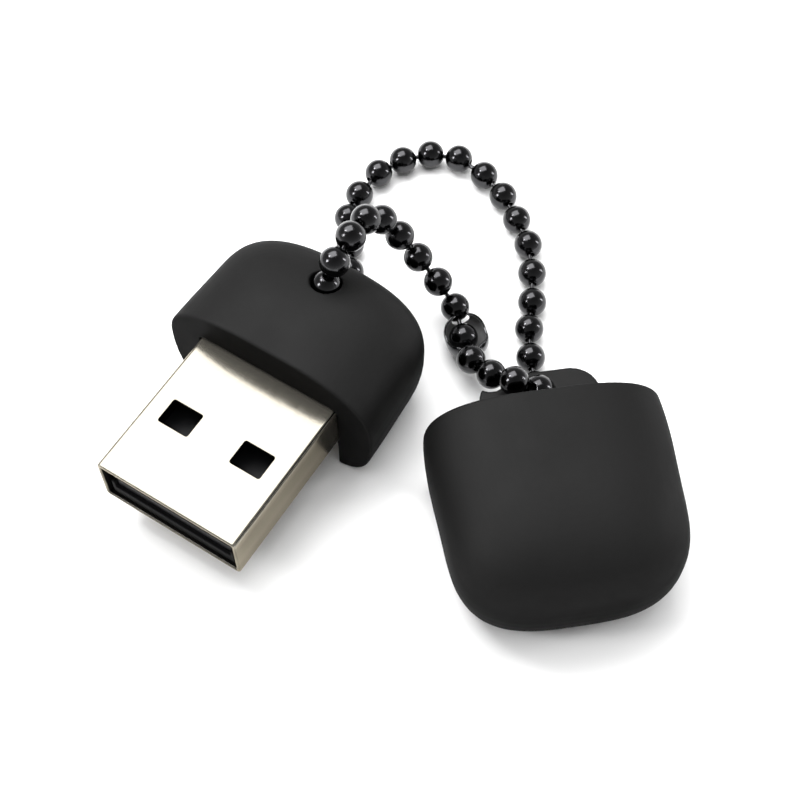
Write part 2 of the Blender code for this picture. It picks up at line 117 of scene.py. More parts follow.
CORE = (6.6, 1.2, 9.4, 3.0)              # half width, front, back, radius of its back corners
CORE_Z = (2.4, 8.4)
HOLE = (0.25, 7.55)
HOLE_RADIUS = 1.20
WAY_RADIUS = 1.22
WAY_FROM = 11                            # point of the rear route from which its way is swept

LINER = (6.8, 8.5, 1.9, 8.5)             # half width, depth, bottom, top
LINER_FRONT = 0.05                       # how far it stands back from the mouth
PLUG_ROOM = 12.8
LUG = (9.4, 6.1, 2.33, 2.95)             # width, reach, bottom, top: it clears a ball on the surface
LUG_SHIFT = 1.0
LUG_CORNER = 2.2
LUG_HOLE = (4.4, 1.20)                   # distance from the mouth, radius
SEAT_RADIUS = 1.25                       # room for the balls that lie against the lug
SEAT_TURNS = (0.0, 5.0)                  # degrees that the cap may turn toward the balls
RECESS_DEPTH = 6.5
RECESS_HEADROOM = 0.15
MOULD_VOXEL = 0.11

# Chain. A strand's beads are at equal steps between the given distances along its route.
BALL_RADIUS = 1.15
BALL_HOLE = 0.27                         # radius of the hole at each pole
BALL_SEAM = (math.radians(3), 0.985)     # half angle, radius as a share
LINK_RADII = (0.23, 0.19, 0.175)         # at a headed end, a quarter along and in the middle
LINK_START = 0.8                         # where a link starts, as a share of the ball's radius
REAR_ROUTE = [
    (6.8, 15.7, 1.9), (6.0, 15.9, 2.7), (4.9, 16.0, 3.8), (2.9, 16.1, 5.6), (1.4, 15.8, 7.7),
    (0.4, 15.0, 9.8), (0.1, 13.3, 11.6), (0.35, 11.0, 12.5), (0.55, 9.1, 12.5), (0.35, 7.8, 11.5),
    (0.25, 7.55, 10.0), (0.25, 7.55, 7.5), (0.2, 7.7, 4.9), (-0.1, 8.6, 3.1), (-0.7, 10.2, 1.9),
    (-1.5, 12.3, 1.3), (-2.7, 14.8, 1.15), (-4.3, 17.2, 1.15), (-5.7, 19.1, 1.15), (-6.2, 21.5, 1.15),
    (-6.1, 24.2, 1.15), (-5.0, 26.7, 1.15), (-3.4, 28.4, 1.15), (-1.1, 29.3, 1.15), (0.4, 29.3, 1.15),
]
FRONT_ROUTE = [
    (0.8, 29.2, 1.15), (1.6, 28.9, 1.15), (4.0, 27.9, 1.15), (6.2, 26.4, 1.15), (8.3, 24.7, 1.15),
    (10.0, 22.4, 1.15), (11.4, 20.0, 1.15), (12.5, 17.6, 1.15), (13.9, 15.4, 1.15), (15.3, 13.6, 1.15),
    (16.3, 12.5, 1.8), (16.42, 12.1, 3.1), (15.7, 11.3, 4.2), (14.5, 11.1, 4.2),
    (12.9, 11.35, 3.0), (11.5, 11.75, 2.7), (10.4, 12.05, 2.35),
]
REAR_STRETCHES = ((0.1, 15.7, 6), (15.7, 20.6, 2), (20.6, 26.6, 2), (26.6, 40.2, 5), (40.2, 42.8, 1),
                  (42.8, 45.6, 1), (45.6, 53.0, 3))
FRONT_STRETCHES = ((0.85, 8.85, 3), (8.85, 11.7, 1), (11.7, 14.55, 1), (14.55, 17.1, 1),
                   (17.1, 25.1, 3), (25.1, 32.9, 3))
SEATED_BALLS = slice(8, 12)              # of the front strand, those that lie against the lug
ARCH_BALLS = 8                           # of the rear strand, those behind the drive that turn rigidly
ARCH_Z = MIDDLE_Z + 3                    # and so do those above this
SWING_REACH = (3.9, 19.0)                # distances from the drive's hole between which the rest bends
CLASP_ENDS = (Vector((7.5, 15.2, 1.7)), Vector((10.1, 12.8, 1.7)))
CLASP_RADIUS = 1.7
CLASP_NECK = (0.52, 3.2)                 # share by which its ends are narrower, power of the curve
CLASP_OPENING = (82, 52, 2.2)            # half angle in the middle, how much less at the ends, power
CLASP_SHEET = 0.2
CLASP_EDGE = 0.06
CLASP_STEPS = (32, 48)                   # along and around
CLASP_BALL = Vector((8.66, 13.84, 1.6))

# Studio. Azimuth 0 is -Y and 90 is +X.
CAMERA_AT = Vector((26.471, -43.658, 101.893))
CAMERA_TARGET = Vector((-4.822, 5.596, 0.0))
CAMERA_AZIMUTH = 32.43
CAMERA_LENS = 67.5
AWAY = CAMERA_AZIMUTH + 180
# Azimuth, elevation, distance, size, brightness, and whether it shows in glossy surfaces.
LIGHTS = {
    "key": (AWAY + 21, 61, 259, (200, 190), 5.2, True),
    "left_high": (278, 55, 240, (34, 34), 30.0, True),
    "left_low": (315, 36, 240, (40, 64), 22.0, True),
    "right_strip": (133, 17, 240, (22, 95), 18.0, True),
    "fill": (AWAY, 80, 400, (520, 520), 2.4, False),
}
LIGHT_TARGET = Vector((0, 0, 3))
WORLD_GREYS = ((0.0, 0.93), (0.35, 0.38), (1.0, 0.16))   # share of the way up, grey
FLOOR_RADIUS = 900.0
FLOOR_Z = -0.03
FLOOR_LIT = (80.0, 330.0, 0.85)          # from and to radius, and how much light the far floor adds


# ---------------------------------------------------------------- making meshes

def link_up(thing):
    bpy.context.scene.collection.objects.link(thing)
    return thing


def to_mesh(bm, name):
    bmesh.ops.recalc_face_normals(bm, faces=bm.faces)
    mesh = bpy.data.meshes.new(name)
    bm.to_mesh(mesh)
    bm.free()
    return mesh


def shaped(bm, cutters=(), joined=(), voxel=0.0, smoothing=0, bevel=0.0, bevel_angle=30.0):
    """The mesh of bm after unions, cuts, remeshing, smoothing and a bevel, in this order."""
    work = link_up(bpy.data.objects.new("work", to_mesh(bm, "work")))
    helpers = []
    for operation, shapes in (("UNION", joined), ("DIFFERENCE", cutters)):
        for shape in shapes:
            helper = link_up(bpy.data.objects.new("helper", to_mesh(shape, "helper")))
            helpers.append(helper)
            boolean = work.modifiers.new("boolean", "BOOLEAN")
            boolean.operation = operation
            boolean.solver = "EXACT"
            boolean.object = helper
    if voxel:
        remesh = work.modifiers.new("remesh", "REMESH")
        remesh.mode = "VOXEL"
        remesh.voxel_size = voxel
    if smoothing:
        smooth = work.modifiers.new("smooth", "SMOOTH")
        smooth.factor = 0.5
        smooth.iterations = smoothing
    if bevel:
        edge = work.modifiers.new("bevel", "BEVEL")
        edge.width = bevel
        edge.segments = 3
        edge.limit_method = "ANGLE"
        edge.angle_limit = math.radians(bevel_angle)
    bpy.context.view_layer.update()
    graph = bpy.context.evaluated_depsgraph_get()
    mesh = bpy.data.meshes.new_from_object(work.evaluated_get(graph))
    for thing in (work, *helpers):
        bpy.data.objects.remove(thing, do_unlink=True)
    return mesh


def piece(name, mesh, place, material, sharp=40.0, flat_faces=False):
    """A finished object in the row frame, from a mesh made in mm in one of the frames.

    flat_faces keeps the shading of large faces from bending at their bevels.
    """
    mesh.name = name
    mesh.transform(Matrix.Scale(MM, 4) @ place)
    mesh.materials.clear()
    mesh.materials.append(material)
    mesh.shade_smooth()
    mesh.set_sharp_from_angle(angle=math.radians(sharp))
    thing = link_up(bpy.data.objects.new(name, mesh))
    if flat_faces:
        weighted = thing.modifiers.new("flat faces", "WEIGHTED_NORMAL")
        weighted.keep_sharp = True
    return thing


def loft(bm, rings, closed_rings=True, closed_loop=False):
    """Faces between neighbouring rings of vertices."""
    pairs = list(zip(rings, rings[1:]))
    if closed_loop:
        pairs.append((rings[-1], rings[0]))
    for low, high in pairs:
        count = len(low)
        for i in range(count if closed_rings else count - 1):
            j = (i + 1) % count
            bm.faces.new((low[i], low[j], high[j], high[i]))


def box(low, high):
    bm = bmesh.new()
    bmesh.ops.create_cube(bm, size=1.0)
    bmesh.ops.scale(bm, vec=[h - l for l, h in zip(low, high)], verts=bm.verts)
    bmesh.ops.translate(bm, vec=[(h + l) / 2 for l, h in zip(low, high)], verts=bm.verts)
    return bm


def rounded_rectangle(low, high, radius, steps=6):
    """Points of a rectangle with round corners, between two corners in its plane."""
    points = []
    corners = ((high[0] - radius, high[1] - radius), (low[0] + radius, high[1] - radius),
               (low[0] + radius, low[1] + radius), (high[0] - radius, low[1] + radius))
    for quarter, (a, b) in enumerate(corners):
        for i in range(steps + 1):
            angle = math.radians(90 * (quarter + i / steps))
            points.append((a + radius * math.cos(angle), b + radius * math.sin(angle)))
    return points


def prism(outline, low, high, along="Z"):
    """A closed outline extruded along Z or Y."""
    bm = bmesh.new()
    rings = []
    for level in (low, high):
        places = [(a, b, level) if along == "Z" else (a, level, b) for a, b in outline]
        rings.append([bm.verts.new(p) for p in places])
    loft(bm, rings)
    bm.faces.new(rings[0])
    bm.faces.new(rings[1])
    return bm


def turned(bm, profile, place, sides, dent=None):
    """Turns (radius, height) points about Z and moves the result to its place.

    A radius of 0 at an end closes it. dent is the half angle and the radius factor of a lengthwise seam.
    """
    turns = [(2 * math.pi * k / sides, 1.0) for k in range(sides)]
    if dent:
        half = dent[0]
        turns[0:1] = [(0.0, dent[1]), (half, 1.0)]
        turns.append((2 * math.pi - half, 1.0))
    rings = []
    for radius, height in profile:
        if radius == 0.0:
            rings.append([bm.verts.new(place @ Vector((0.0, 0.0, height)))])
            continue
        ring = []
        for angle, factor in turns:
            at = Vector((radius * factor * math.cos(angle), radius * factor * math.sin(angle), height))
            ring.append(bm.verts.new(place @ at))
        rings.append(ring)
    for low, high in zip(rings, rings[1:]):
        count = max(len(low), len(high))
        for i in range(count):
            j = (i + 1) % count
            if len(low) == 1:
                bm.faces.new((low[0], high[j], high[i]))
            elif len(high) == 1:
                bm.faces.new((low[i], low[j], high[0]))
            else:
                bm.faces.new((low[i], low[j], high[j], high[i]))
    return [vertex for ring in rings for vertex in ring]


def post(at, radius, low, high, sides):
    """An upright cylinder."""
    bm = bmesh.new()
    profile = [(0.0, low), (radius, low), (radius, high), (0.0, high)]
    turned(bm, profile, Matrix.Translation((*at, 0.0)), sides)
    return bm


def pointing(at, direction):
    """A place at a point whose Z runs along a direction."""
    return Matrix.Translation(at) @ direction.to_track_quat("Z", "Y").to_matrix().to_4x4()


# ---------------------------------------------------------------- routes

def smooth_line(points, steps=24):
    """Points of a Catmull-Rom curve, and how far along it each one is."""
    points = [Vector(p) for p in points]
    ends = [2 * points[0] - points[1], *points, 2 * points[-1] - points[-2]]
    line = []
    for i in range(1, len(ends) - 2):
        a, b, c, d = ends[i - 1:i + 3]
        for k in range(steps):
            t = k / steps
            line.append(0.5 * (2 * b + (c - a) * t + (2 * a - 5 * b + 4 * c - d) * t ** 2
                               + (3 * b - a - 3 * c + d) * t ** 3))
    line.append(points[-1])
    along = [0.0]
    for a, b in zip(line, line[1:]):
        along.append(along[-1] + (b - a).length)
    return line, along


def place_along(line, along, distance):
    for i in range(len(along) - 1):
        if along[i + 1] >= distance:
            share = (distance - along[i]) / (along[i + 1] - along[i])
            return line[i].lerp(line[i + 1], share)
    return line[-1].copy()


def swept(points, radius, step=0.8, sides=20):
    """A closed round tube along a route."""
    line, along = smooth_line(points)
    count = round(along[-1] / step)
    centres = [place_along(line, along, along[-1] * k / count) for k in range(count + 1)]
    bm = bmesh.new()
    side = Vector((1.0, 0.0, 0.0))
    rings = []
    for i, centre in enumerate(centres):
        ahead = (centres[min(i + 1, count)] - centres[max(i - 1, 0)]).normalized()
        side = (side - ahead * side.dot(ahead)).normalized()
        other = ahead.cross(side)
        ring = []
        for k in range(sides):
            angle = 2 * math.pi * k / sides
            ring.append(bm.verts.new(centre + radius * (math.cos(angle) * side
                                                        + math.sin(angle) * other)))
        rings.append(ring)
    loft(bm, rings)
    bm.faces.new(rings[0])
    bm.faces.new(rings[-1])
    return bm


# ---------------------------------------------------------------- materials

def shader_of(name, colour, roughness, metallic=0.0):
    material = bpy.data.materials.new(name)
    material.use_nodes = True
    tree = material.node_tree
    shader = tree.nodes["Principled BSDF"]
    shader.inputs["Base Color"].default_value = (*colour, 1.0)
    shader.inputs["Roughness"].default_value = roughness
    shader.inputs["Metallic"].default_value = metallic
    return material, tree, shader


def millimetres(tree, stretch=(1.0, 1.0, 1.0)):
    """Object coordinates in mm, with each axis scaled."""
    where = tree.nodes.new("ShaderNodeTexCoord")
    mapping = tree.nodes.new("ShaderNodeMapping")
    mapping.inputs["Scale"].default_value = [s / MM for s in stretch]
    tree.links.new(where.outputs["Object"], mapping.inputs["Vector"])
    return mapping.outputs["Vector"]


def noise(tree, vector, scale, detail=3.0):
    """Noise with about scale lumps to the millimetre."""
    texture = tree.nodes.new("ShaderNodeTexNoise")
    texture.inputs["Scale"].default_value = scale
    texture.inputs["Detail"].default_value = detail
    tree.links.new(vector, texture.inputs["Vector"])
    return texture.outputs["Fac"]


def between(tree, value, low, high, made_low, made_high):
    """A value mapped from one range onto another."""
    mapped = tree.nodes.new("ShaderNodeMapRange")
    mapped.inputs["From Min"].default_value = low
    mapped.inputs["From Max"].default_value = high
    mapped.inputs["To Min"].default_value = made_low
    mapped.inputs["To Max"].default_value = made_high
    tree.links.new(value, mapped.inputs["Value"])
    return mapped.outputs["Result"]


def spread(tree, value, low, high, target):
    """Maps the middle of a noise onto low to high and feeds a socket."""
    tree.links.new(between(tree, value, 0.3, 0.7, low, high), target)


def tint(tree, value, dark, light, shader):
    """Base colour between two colours."""
    mix = tree.nodes.new("ShaderNodeMix")
    mix.data_type = "RGBA"
    mix.inputs["A"].default_value = (*dark, 1.0)
    mix.inputs["B"].default_value = (*light, 1.0)
    tree.links.new(value, mix.inputs["Factor"])
    tree.links.new(mix.outputs["Result"], shader.inputs["Base Color"])


def bumps(tree, shader, layers):
    """Bump from (noise, height in mm) layers, one on top of another."""
    normal = None
    for value, height in layers:
        bump = tree.nodes.new("ShaderNodeBump")
        bump.inputs["Strength"].default_value = 1.0
        bump.inputs["Distance"].default_value = height * MM
        tree.links.new(value, bump.inputs["Height"])
        if normal:
            tree.links.new(normal, bump.inputs["Normal"])
        normal = bump.outputs["Normal"]
    tree.links.new(normal, shader.inputs["Normal"])


def product(tree, a, b):
    times = tree.nodes.new("ShaderNodeMath")
    times.operation = "MULTIPLY"
    tree.links.new(a, times.inputs[0])
    tree.links.new(b, times.inputs[1])
    return times.outputs["Value"]


def rubber(name, dark, light, gloss, roughness):
    """Soft-touch black: a fine even grain, and painted shade: the base colour is lighter where the surface
    faces up and darker where it faces sideways or down.

    Its gloss is least where it faces sideways or is seen along the surface.
    """
    material, tree, shader = shader_of(name, light, roughness)
    shader.inputs["Sheen Weight"].default_value = 0.005
    shader.inputs["Sheen Roughness"].default_value = 0.5
    at = millimetres(tree)
    broad = noise(tree, at, 0.35, 4.0)
    grain = noise(tree, at, 16.0, 2.0)
    surface = tree.nodes.new("ShaderNodeNewGeometry")
    split = tree.nodes.new("ShaderNodeSeparateXYZ")
    tree.links.new(surface.outputs["Normal"], split.inputs["Vector"])
    up = split.outputs["Z"]
    edge = tree.nodes.new("ShaderNodeLayerWeight")
    edge.inputs["Blend"].default_value = 0.5
    uneven = between(tree, broad, 0.3, 0.7, 0.88, 1.0)
    # painted shade: the base colour runs from the dark colour where the surface faces sideways or down to
    # the light colour where it faces up
    tint(tree, product(tree, between(tree, up, 0.0, 0.85, 0.0, 1.0), uneven), dark, light, shader)
    level = product(tree, between(tree, up, 0.0, 0.85, 0.35 * gloss, gloss),
                    between(tree, edge.outputs["Facing"], 0.2, 0.65, 1.0, 0.33))
    shader.inputs["Specular IOR Level"].default_value = gloss
    tree.links.new(level, shader.inputs["Specular IOR Level"])
    spread(tree, broad, roughness - 0.04, roughness + 0.04, shader.inputs["Roughness"])
    bumps(tree, shader, ((grain, 0.004),))
    return material


def moulded(name, dark, light, roughness, grain_height=0.003, gloss=0.5):
    """Satin moulded plastic."""
    material, tree, shader = shader_of(name, dark, roughness)
    shader.inputs["Specular IOR Level"].default_value = gloss
    at = millimetres(tree)
    broad = noise(tree, at, 0.5, 4.0)
    grain = noise(tree, at, 22.0, 2.0)
    tint(tree, broad, dark, light, shader)
    spread(tree, broad, roughness - 0.05, roughness + 0.05, shader.inputs["Roughness"])
    bumps(tree, shader, ((grain, grain_height),))
    return material


# Painted reflection on the plug's sides: lengthwise bands, lighter and darker by height and brightest at the
# upper corner: share of its height, brightness.
SIDE_REFLECTION_BANDS = ((0.02, 0.68), (0.16, 0.48), (0.36, 0.68), (0.56, 0.50), (0.76, 0.40), (0.90, 0.70),
              (0.965, 1.0))


def rolled_steel():
    """Nickel-plated sheet, faintly brushed along the plug and a little uneven, with painted reflection in
    lengthwise bands on its sides.
    """
    material, tree, shader = shader_of("plated_sheet", (0.27, 0.26, 0.24), 0.15, 0.78)
    shader.inputs["Specular Tint"].default_value = (1.0, 0.91, 0.74, 1.0)
    at = millimetres(tree)
    brushed = noise(tree, millimetres(tree, (14.0, 0.5, 14.0)), 1.0, 4.0)
    peel = noise(tree, at, 5.0, 3.0)
    cloud = noise(tree, at, 0.6, 4.0)
    tint(tree, cloud, (0.262, 0.246, 0.208), (0.298, 0.281, 0.240), shader)
    split = tree.nodes.new("ShaderNodeSeparateXYZ")
    tree.links.new(at, split.inputs["Vector"])
    level = between(tree, split.outputs["Z"], PLUG_Z, PLUG_Z + PLUG[1], 0.0, 1.0)
    painted_reflection_bands = tree.nodes.new("ShaderNodeValToRGB")
    tree.links.new(level, painted_reflection_bands.inputs["Fac"])
    for place, grey in SIDE_REFLECTION_BANDS:
        stop = painted_reflection_bands.color_ramp.elements.new(place)
        stop.color = (grey, grey, grey, 1.0)
    painted_reflection_bands.color_ramp.elements.remove(painted_reflection_bands.color_ramp.elements[0])
    painted_reflection_bands.color_ramp.elements.remove(painted_reflection_bands.color_ramp.elements[-1])
    # painted reflection: the sheet's colour is multiplied by the bands
    rolled = tree.nodes.new("ShaderNodeMix")
    rolled.data_type = "RGBA"
    rolled.blend_type = "MULTIPLY"
    rolled.inputs["Factor"].default_value = 1.0
    tree.links.new(shader.inputs["Base Color"].links[0].from_socket, rolled.inputs["A"])
    tree.links.new(painted_reflection_bands.outputs["Color"], rolled.inputs["B"])
    tree.links.new(rolled.outputs["Result"], shader.inputs["Base Color"])
    spread(tree, brushed, 0.13, 0.22, shader.inputs["Roughness"])
    bumps(tree, shader, ((brushed, 0.0012), (peel, 0.0035)))
    return material


def black_nickel(name, dark, light, low, high):
    """Dark mirror plating with fine handling marks."""
    material, tree, shader = shader_of(name, dark, low, 1.0)
    at = millimetres(tree)
    marks = noise(tree, at, 9.0, 5.0)
    cloud = noise(tree, at, 0.8, 2.0)
    tint(tree, cloud, dark, light, shader)
    spread(tree, marks, low, high, shader.inputs["Roughness"])
    bumps(tree, shader, ((marks, 0.0006),))
    return material


def plated(name, dark, light, roughness):
    """Small plated or tinned metal parts."""
    material, tree, shader = shader_of(name, dark, roughness, 1.0)
    at = millimetres(tree)
    cloud = noise(tree, at, 1.5, 4.0)
    tint(tree, cloud, dark, light, shader)
    wear = noise(tree, at, 12.0, 3.0)
    spread(tree, wear, roughness - 0.06, roughness + 0.06, shader.inputs["Roughness"])
    bumps(tree, shader, ((noise(tree, at, 8.0, 3.0), 0.002),))
    return material


# painted shade in the rubber: its first colour is for faces that look sideways or down, its second for faces
# that look up
RUBBER = rubber("soft_rubber", (0.0036, 0.0036, 0.0036), (0.0075, 0.0075, 0.0075), 0.148, 0.60)
PLASTIC = moulded("satin_plastic", (0.0035, 0.0035, 0.0036), (0.0050, 0.0050, 0.0052), 0.60, gloss=0.05)
# painted shade on the lug as well: first colour for faces that look sideways or down, second for faces that
# look up
LUG_PLASTIC = rubber("lug_plastic", (0.0035, 0.0035, 0.0035), (0.0078, 0.0078, 0.0078), 0.17, 0.52)
STEEL = rolled_steel()
NICKEL = black_nickel("black_nickel", (0.044, 0.044, 0.046), (0.056, 0.056, 0.058), 0.13, 0.20)
CLASP_NICKEL = black_nickel("clasp_nickel", (0.075, 0.075, 0.078), (0.095, 0.095, 0.098), 0.10, 0.17)
# painted reflection: the clasp's inner side is the same plating, given a lighter satin grey for the light it
# reflects
CLASP_INSIDE_PAINTED_LIGHT = moulded("clasp_inside_painted_light", (0.13, 0.13, 0.13), (0.18, 0.18, 0.18), 0.45, 0.001, 0.25)
# painted shade: the inner side of the plug's sheet is near black, standing in for the shade inside the plug
SHEET_INSIDE_PAINTED_SHADE = plated("sheet_inside_painted_shade", (0.010, 0.010, 0.010), (0.016, 0.016, 0.015), 0.55)
GOLD = plated("contact_gold", (0.80, 0.58, 0.24), (0.88, 0.68, 0.33), 0.22)
TIN = plated("tin", (0.62, 0.61, 0.59), (0.72, 0.71, 0.69), 0.28)
MASK = moulded("solder_mask", (0.006, 0.006, 0.007), (0.010, 0.010, 0.011), 0.45, 0.002, 0.2)
EPOXY = moulded("chip_epoxy", (0.018, 0.018, 0.019), (0.028, 0.028, 0.028), 0.58)
CERAMIC = moulded("ceramic", (0.36, 0.25, 0.16), (0.46, 0.34, 0.23), 0.45)


# ---------------------------------------------------------------- covers

def cover_levels(crown):
    """(share of the half width, height) of each level, from the belly to the crown."""
    levels = []
    for i in range(BELLY_LEVELS):
        angle = math.radians(90 * i / BELLY_LEVELS)
        inset = BELLY_RADIUS * (1 - math.sin(angle) ** (2 / BELLY_POWER))
        levels.append((1 - inset / HALF_WIDTH, MIDDLE_Z * (1 - math.cos(angle) ** (2 / BELLY_POWER))))
    for i in range(CROWN_LEVELS):
        angle = math.radians(CROWN_END * i / (CROWN_LEVELS - 1))
        share = math.cos(angle) ** (2 / crown[0])
        levels.append((share, MIDDLE_Z + CROWN * math.sin(angle) ** (2 / crown[1])))
    return levels


def narrowing(form, y):
    """How much a side has come in at y: at the front face, and toward the end, where it eases out."""
    length, start, _, taper, pinch = form
    way = min(1.0, y / (start + TAPER_END * (length - start)))
    return taper * way * way * (3 - 2 * way) + pinch * max(0.0, 1 - y / PINCH_END) ** 2


def cover_ring(form, share, z):
    """One level's outline, from the front's right corner round the end to its left corner."""
    length, start, power, _, _ = form
    half = HALF_WIDTH * share
    depth = (length - start) * share
    begin = length - HALF_WIDTH * (1 - share) - depth
    rows = [FRONT_EDGE * row for row in FRONT_ROWS]
    rows += [FRONT_EDGE + (begin - FRONT_EDGE) * row / SIDE_ROWS for row in range(1, SIDE_ROWS + 1)]
    right = []
    for y in rows:
        low = FRONT_EDGE - math.sqrt(max(0.0, FRONT_EDGE ** 2 - max(0.0, FRONT_EDGE - y) ** 2))
        x = (half - share * narrowing(form, y)) * (1 - low / HALF_WIDTH)
        right.append((x, y, MIDDLE_Z + (z - MIDDLE_Z) * (1 - low / CROWN)))
    for i in range(1, END_ROWS + 1):
        angle = math.radians(90 * i / END_ROWS)
        y = begin + depth * math.sin(angle) ** (2 / power)
        x = (half - share * narrowing(form, y)) * max(math.cos(angle), 0.0) ** (2 / power)
        right.append((x, y, z))
    right[-1] = (0.0, right[-1][1], z)
    return right + [(-x, y, level) for x, y, level in reversed(right[:-1])]


def cover_blank(form, crown):
    """The closed outer form of a cover."""
    bm = bmesh.new()
    rings = []
    for share, z in cover_levels(crown):
        rings.append([bm.verts.new(p) for p in cover_ring(form, share, z)])
    loft(bm, rings)
    for ring in (rings[0], rings[-1]):
        for i in range(len(ring) // 2):
            corners = (ring[i], ring[i + 1], ring[-2 - i], ring[-1 - i])
            bm.faces.new(dict.fromkeys(corners))
    return bm


def core_outline():
    half, front, back, radius = CORE[0] + GAP, CORE[1] - GAP, CORE[2] + GAP, CORE[3] + GAP
    points = [(-half, front), (half, front)]
    for x, quarter in ((half - radius, 0), (radius - half, 1)):
        for i in range(9):
            angle = math.radians(90 * (quarter + i / 8))
            points.append((x + radius * math.cos(angle), back - radius + radius * math.sin(angle)))
    return points


def plug_room(length, clearance):
    low = (-PLUG[0] / 2 - clearance, PLUG_Z - clearance)
    high = (PLUG[0] / 2 + clearance, PLUG_Z + PLUG[1] + clearance)
    return prism(rounded_rectangle(low, high, PLUG_RADIUS + clearance), -1.0, length, "Y")


def make_drive_cover():
    """Rubber overmould of the drive, with the chain's way through it."""
    hole = post(HOLE, HOLE_RADIUS, -1.0, 14.0, 48)
    low, high = LUG_SHIFT - LUG[0] / 2 - GAP, LUG_SHIFT + LUG[0] / 2 + GAP
    recess = box((low, -1.0, -1.0), (high, RECESS_DEPTH, LUG[3] + RECESS_HEADROOM))
    room = prism(core_outline(), CORE_Z[0] - GAP, CORE_Z[1] + GAP)
    way = swept(REAR_ROUTE[WAY_FROM:], WAY_RADIUS)
    cutters = (room, plug_room(PLUG_PASSAGE, FIT), recess, hole, way)
    mesh = shaped(cover_blank(DRIVE_FORM, DRIVE_CROWN), cutters, voxel=COVER_VOXEL, smoothing=2)
    thing = piece("drive_cover", mesh, DRIVE_FRAME, RUBBER, 80.0)
    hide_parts("drive_sleeve")
    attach(thing, "drive")


def make_cap_cover():
    """Rubber overmould of the cap, open where its liner sits."""
    half, depth, bottom, top = LINER
    room = prism(rounded_rectangle((-half - FIT, bottom - FIT), (half + FIT, top + FIT), 0.5),
                 -1.0, depth + GAP, "Y")
    mesh = shaped(cover_blank(CAP_FORM, CAP_CROWN), (room, plug_room(PLUG_ROOM, GAP)),
                  voxel=COVER_VOXEL, smoothing=2)
    thing = piece("cap_cover", mesh, CAP_FRAME, RUBBER, 80.0)
    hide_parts("cap_sleeve")
    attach(thing, "cap")


def make_cap_mouth():
    """Hard liner of the cap's mouth and the lug that is moulded onto it."""
    half, depth, bottom, top = LINER
    block = prism(rounded_rectangle((-half, bottom), (half, top), 0.4), LINER_FRONT, depth, "Y")
    left, right = -LUG_SHIFT - LUG[0] / 2, -LUG_SHIFT + LUG[0] / 2
    outline = [(right, 1.0), (left, 1.0)]
    for x, quarter in ((left + LUG_CORNER, 2), (right - LUG_CORNER, 3)):
        for i in range(11):
            angle = math.radians(90 * (quarter + i / 10))
            y = LUG_CORNER - LUG[1] + LUG_CORNER * math.sin(angle)
            outline.append((x + LUG_CORNER * math.cos(angle), y))
    lug = prism(outline, LUG[2], LUG[3])
    out, radius = LUG_HOLE
    hole = post((-LUG_SHIFT, -out), radius, 0.0, 6.0, 40)
    mesh = shaped(block, (plug_room(PLUG_ROOM, GAP), hole, *ball_seats()), (lug,),
                  voxel=MOULD_VOXEL, smoothing=2)
    thing = piece("cap_mouth", mesh, CAP_FRAME, LUG_PLASTIC, 80.0)
    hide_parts("cap_liner")
    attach(thing, "cap")


def ball_seats():
    """Room in the lug for the balls against it, also as the cap turns a little toward them."""
    pivot = Matrix.Translation((-LUG_SHIFT, -LUG_HOLE[0], 0.0))
    seats = []
    for turn in SEAT_TURNS:
        back = pivot @ Matrix.Rotation(math.radians(turn), 4, "Z") @ pivot.inverted()
        for bead in beads_of(FRONT_ROUTE, FRONT_STRETCHES)[SEATED_BALLS]:
            seat = bmesh.new()
            place = back @ CAP_FRAME.inverted() @ DRIVE_FRAME @ Matrix.Translation(bead)
            bmesh.ops.create_uvsphere(seat, u_segments=32, v_segments=16, radius=SEAT_RADIUS,
                                      matrix=place)
            seats.append(seat)
    return seats


# ---------------------------------------------------------------- plug

def make_plug_case():
    """Folded sheet with a rounded mouth, two windows and its seam."""
    width, height, front, tail = PLUG
    half = width / 2
    path = [(0.0, tail), (0.0, 0.0), *[(inset, back - front) for inset, back in PLUG_MOUTH],
            (PLUG_WALL, tail)]
    bm = bmesh.new()
    rings = []
    for inset, y in path:
        outline = rounded_rectangle((inset - half, PLUG_Z + inset),
                                    (half - inset, PLUG_Z + height - inset), PLUG_RADIUS - inset * 0.8)
        rings.append([bm.verts.new((a, y, b)) for a, b in outline])
    loft(bm, rings, closed_loop=True)
    cutters = []
    for x in WINDOWS_X:
        low = (x - WINDOW[0] / 2, WINDOW_Y - WINDOW[1] / 2)
        high = (x + WINDOW[0] / 2, WINDOW_Y + WINDOW[1] / 2)
        cutters.append(prism(rounded_rectangle(low, high, WINDOW[2]), 0.0, 12.0))
    cutters.append(seam_cutter())
    mesh = shaped(bm, cutters, bevel=PLUG_EDGE, bevel_angle=50.0)
    # painted shade: faces inside the sheet and away from the tip get the near-black material
    painted_shade_faces = [depth_in_plug(face.center) > SHADE_PAINTED_FROM[0] and face.center.y > SHADE_PAINTED_FROM[1] - front
              for face in mesh.polygons]
    thing = piece("plug_case", mesh, DRIVE_FRAME, STEEL, 35.0, flat_faces=True)
    thing.data.materials.append(SHEET_INSIDE_PAINTED_SHADE)
    for face, in_shade in zip(thing.data.polygons, painted_shade_faces):
        face.material_index = int(in_shade)
    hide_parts("plug_shell")
    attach(thing, "drive")


def depth_in_plug(at):
    """How far a point lies inside the plug's outer surface, apart from its open ends."""
    across = abs(at.x) - (PLUG[0] / 2 - PLUG_RADIUS)
    height = abs(at.z - PLUG_Z - PLUG[1] / 2) - (PLUG[1] / 2 - PLUG_RADIUS)
    beyond = math.hypot(max(across, 0.0), max(height, 0.0))
    return PLUG_RADIUS - beyond - min(max(across, height), 0.0)


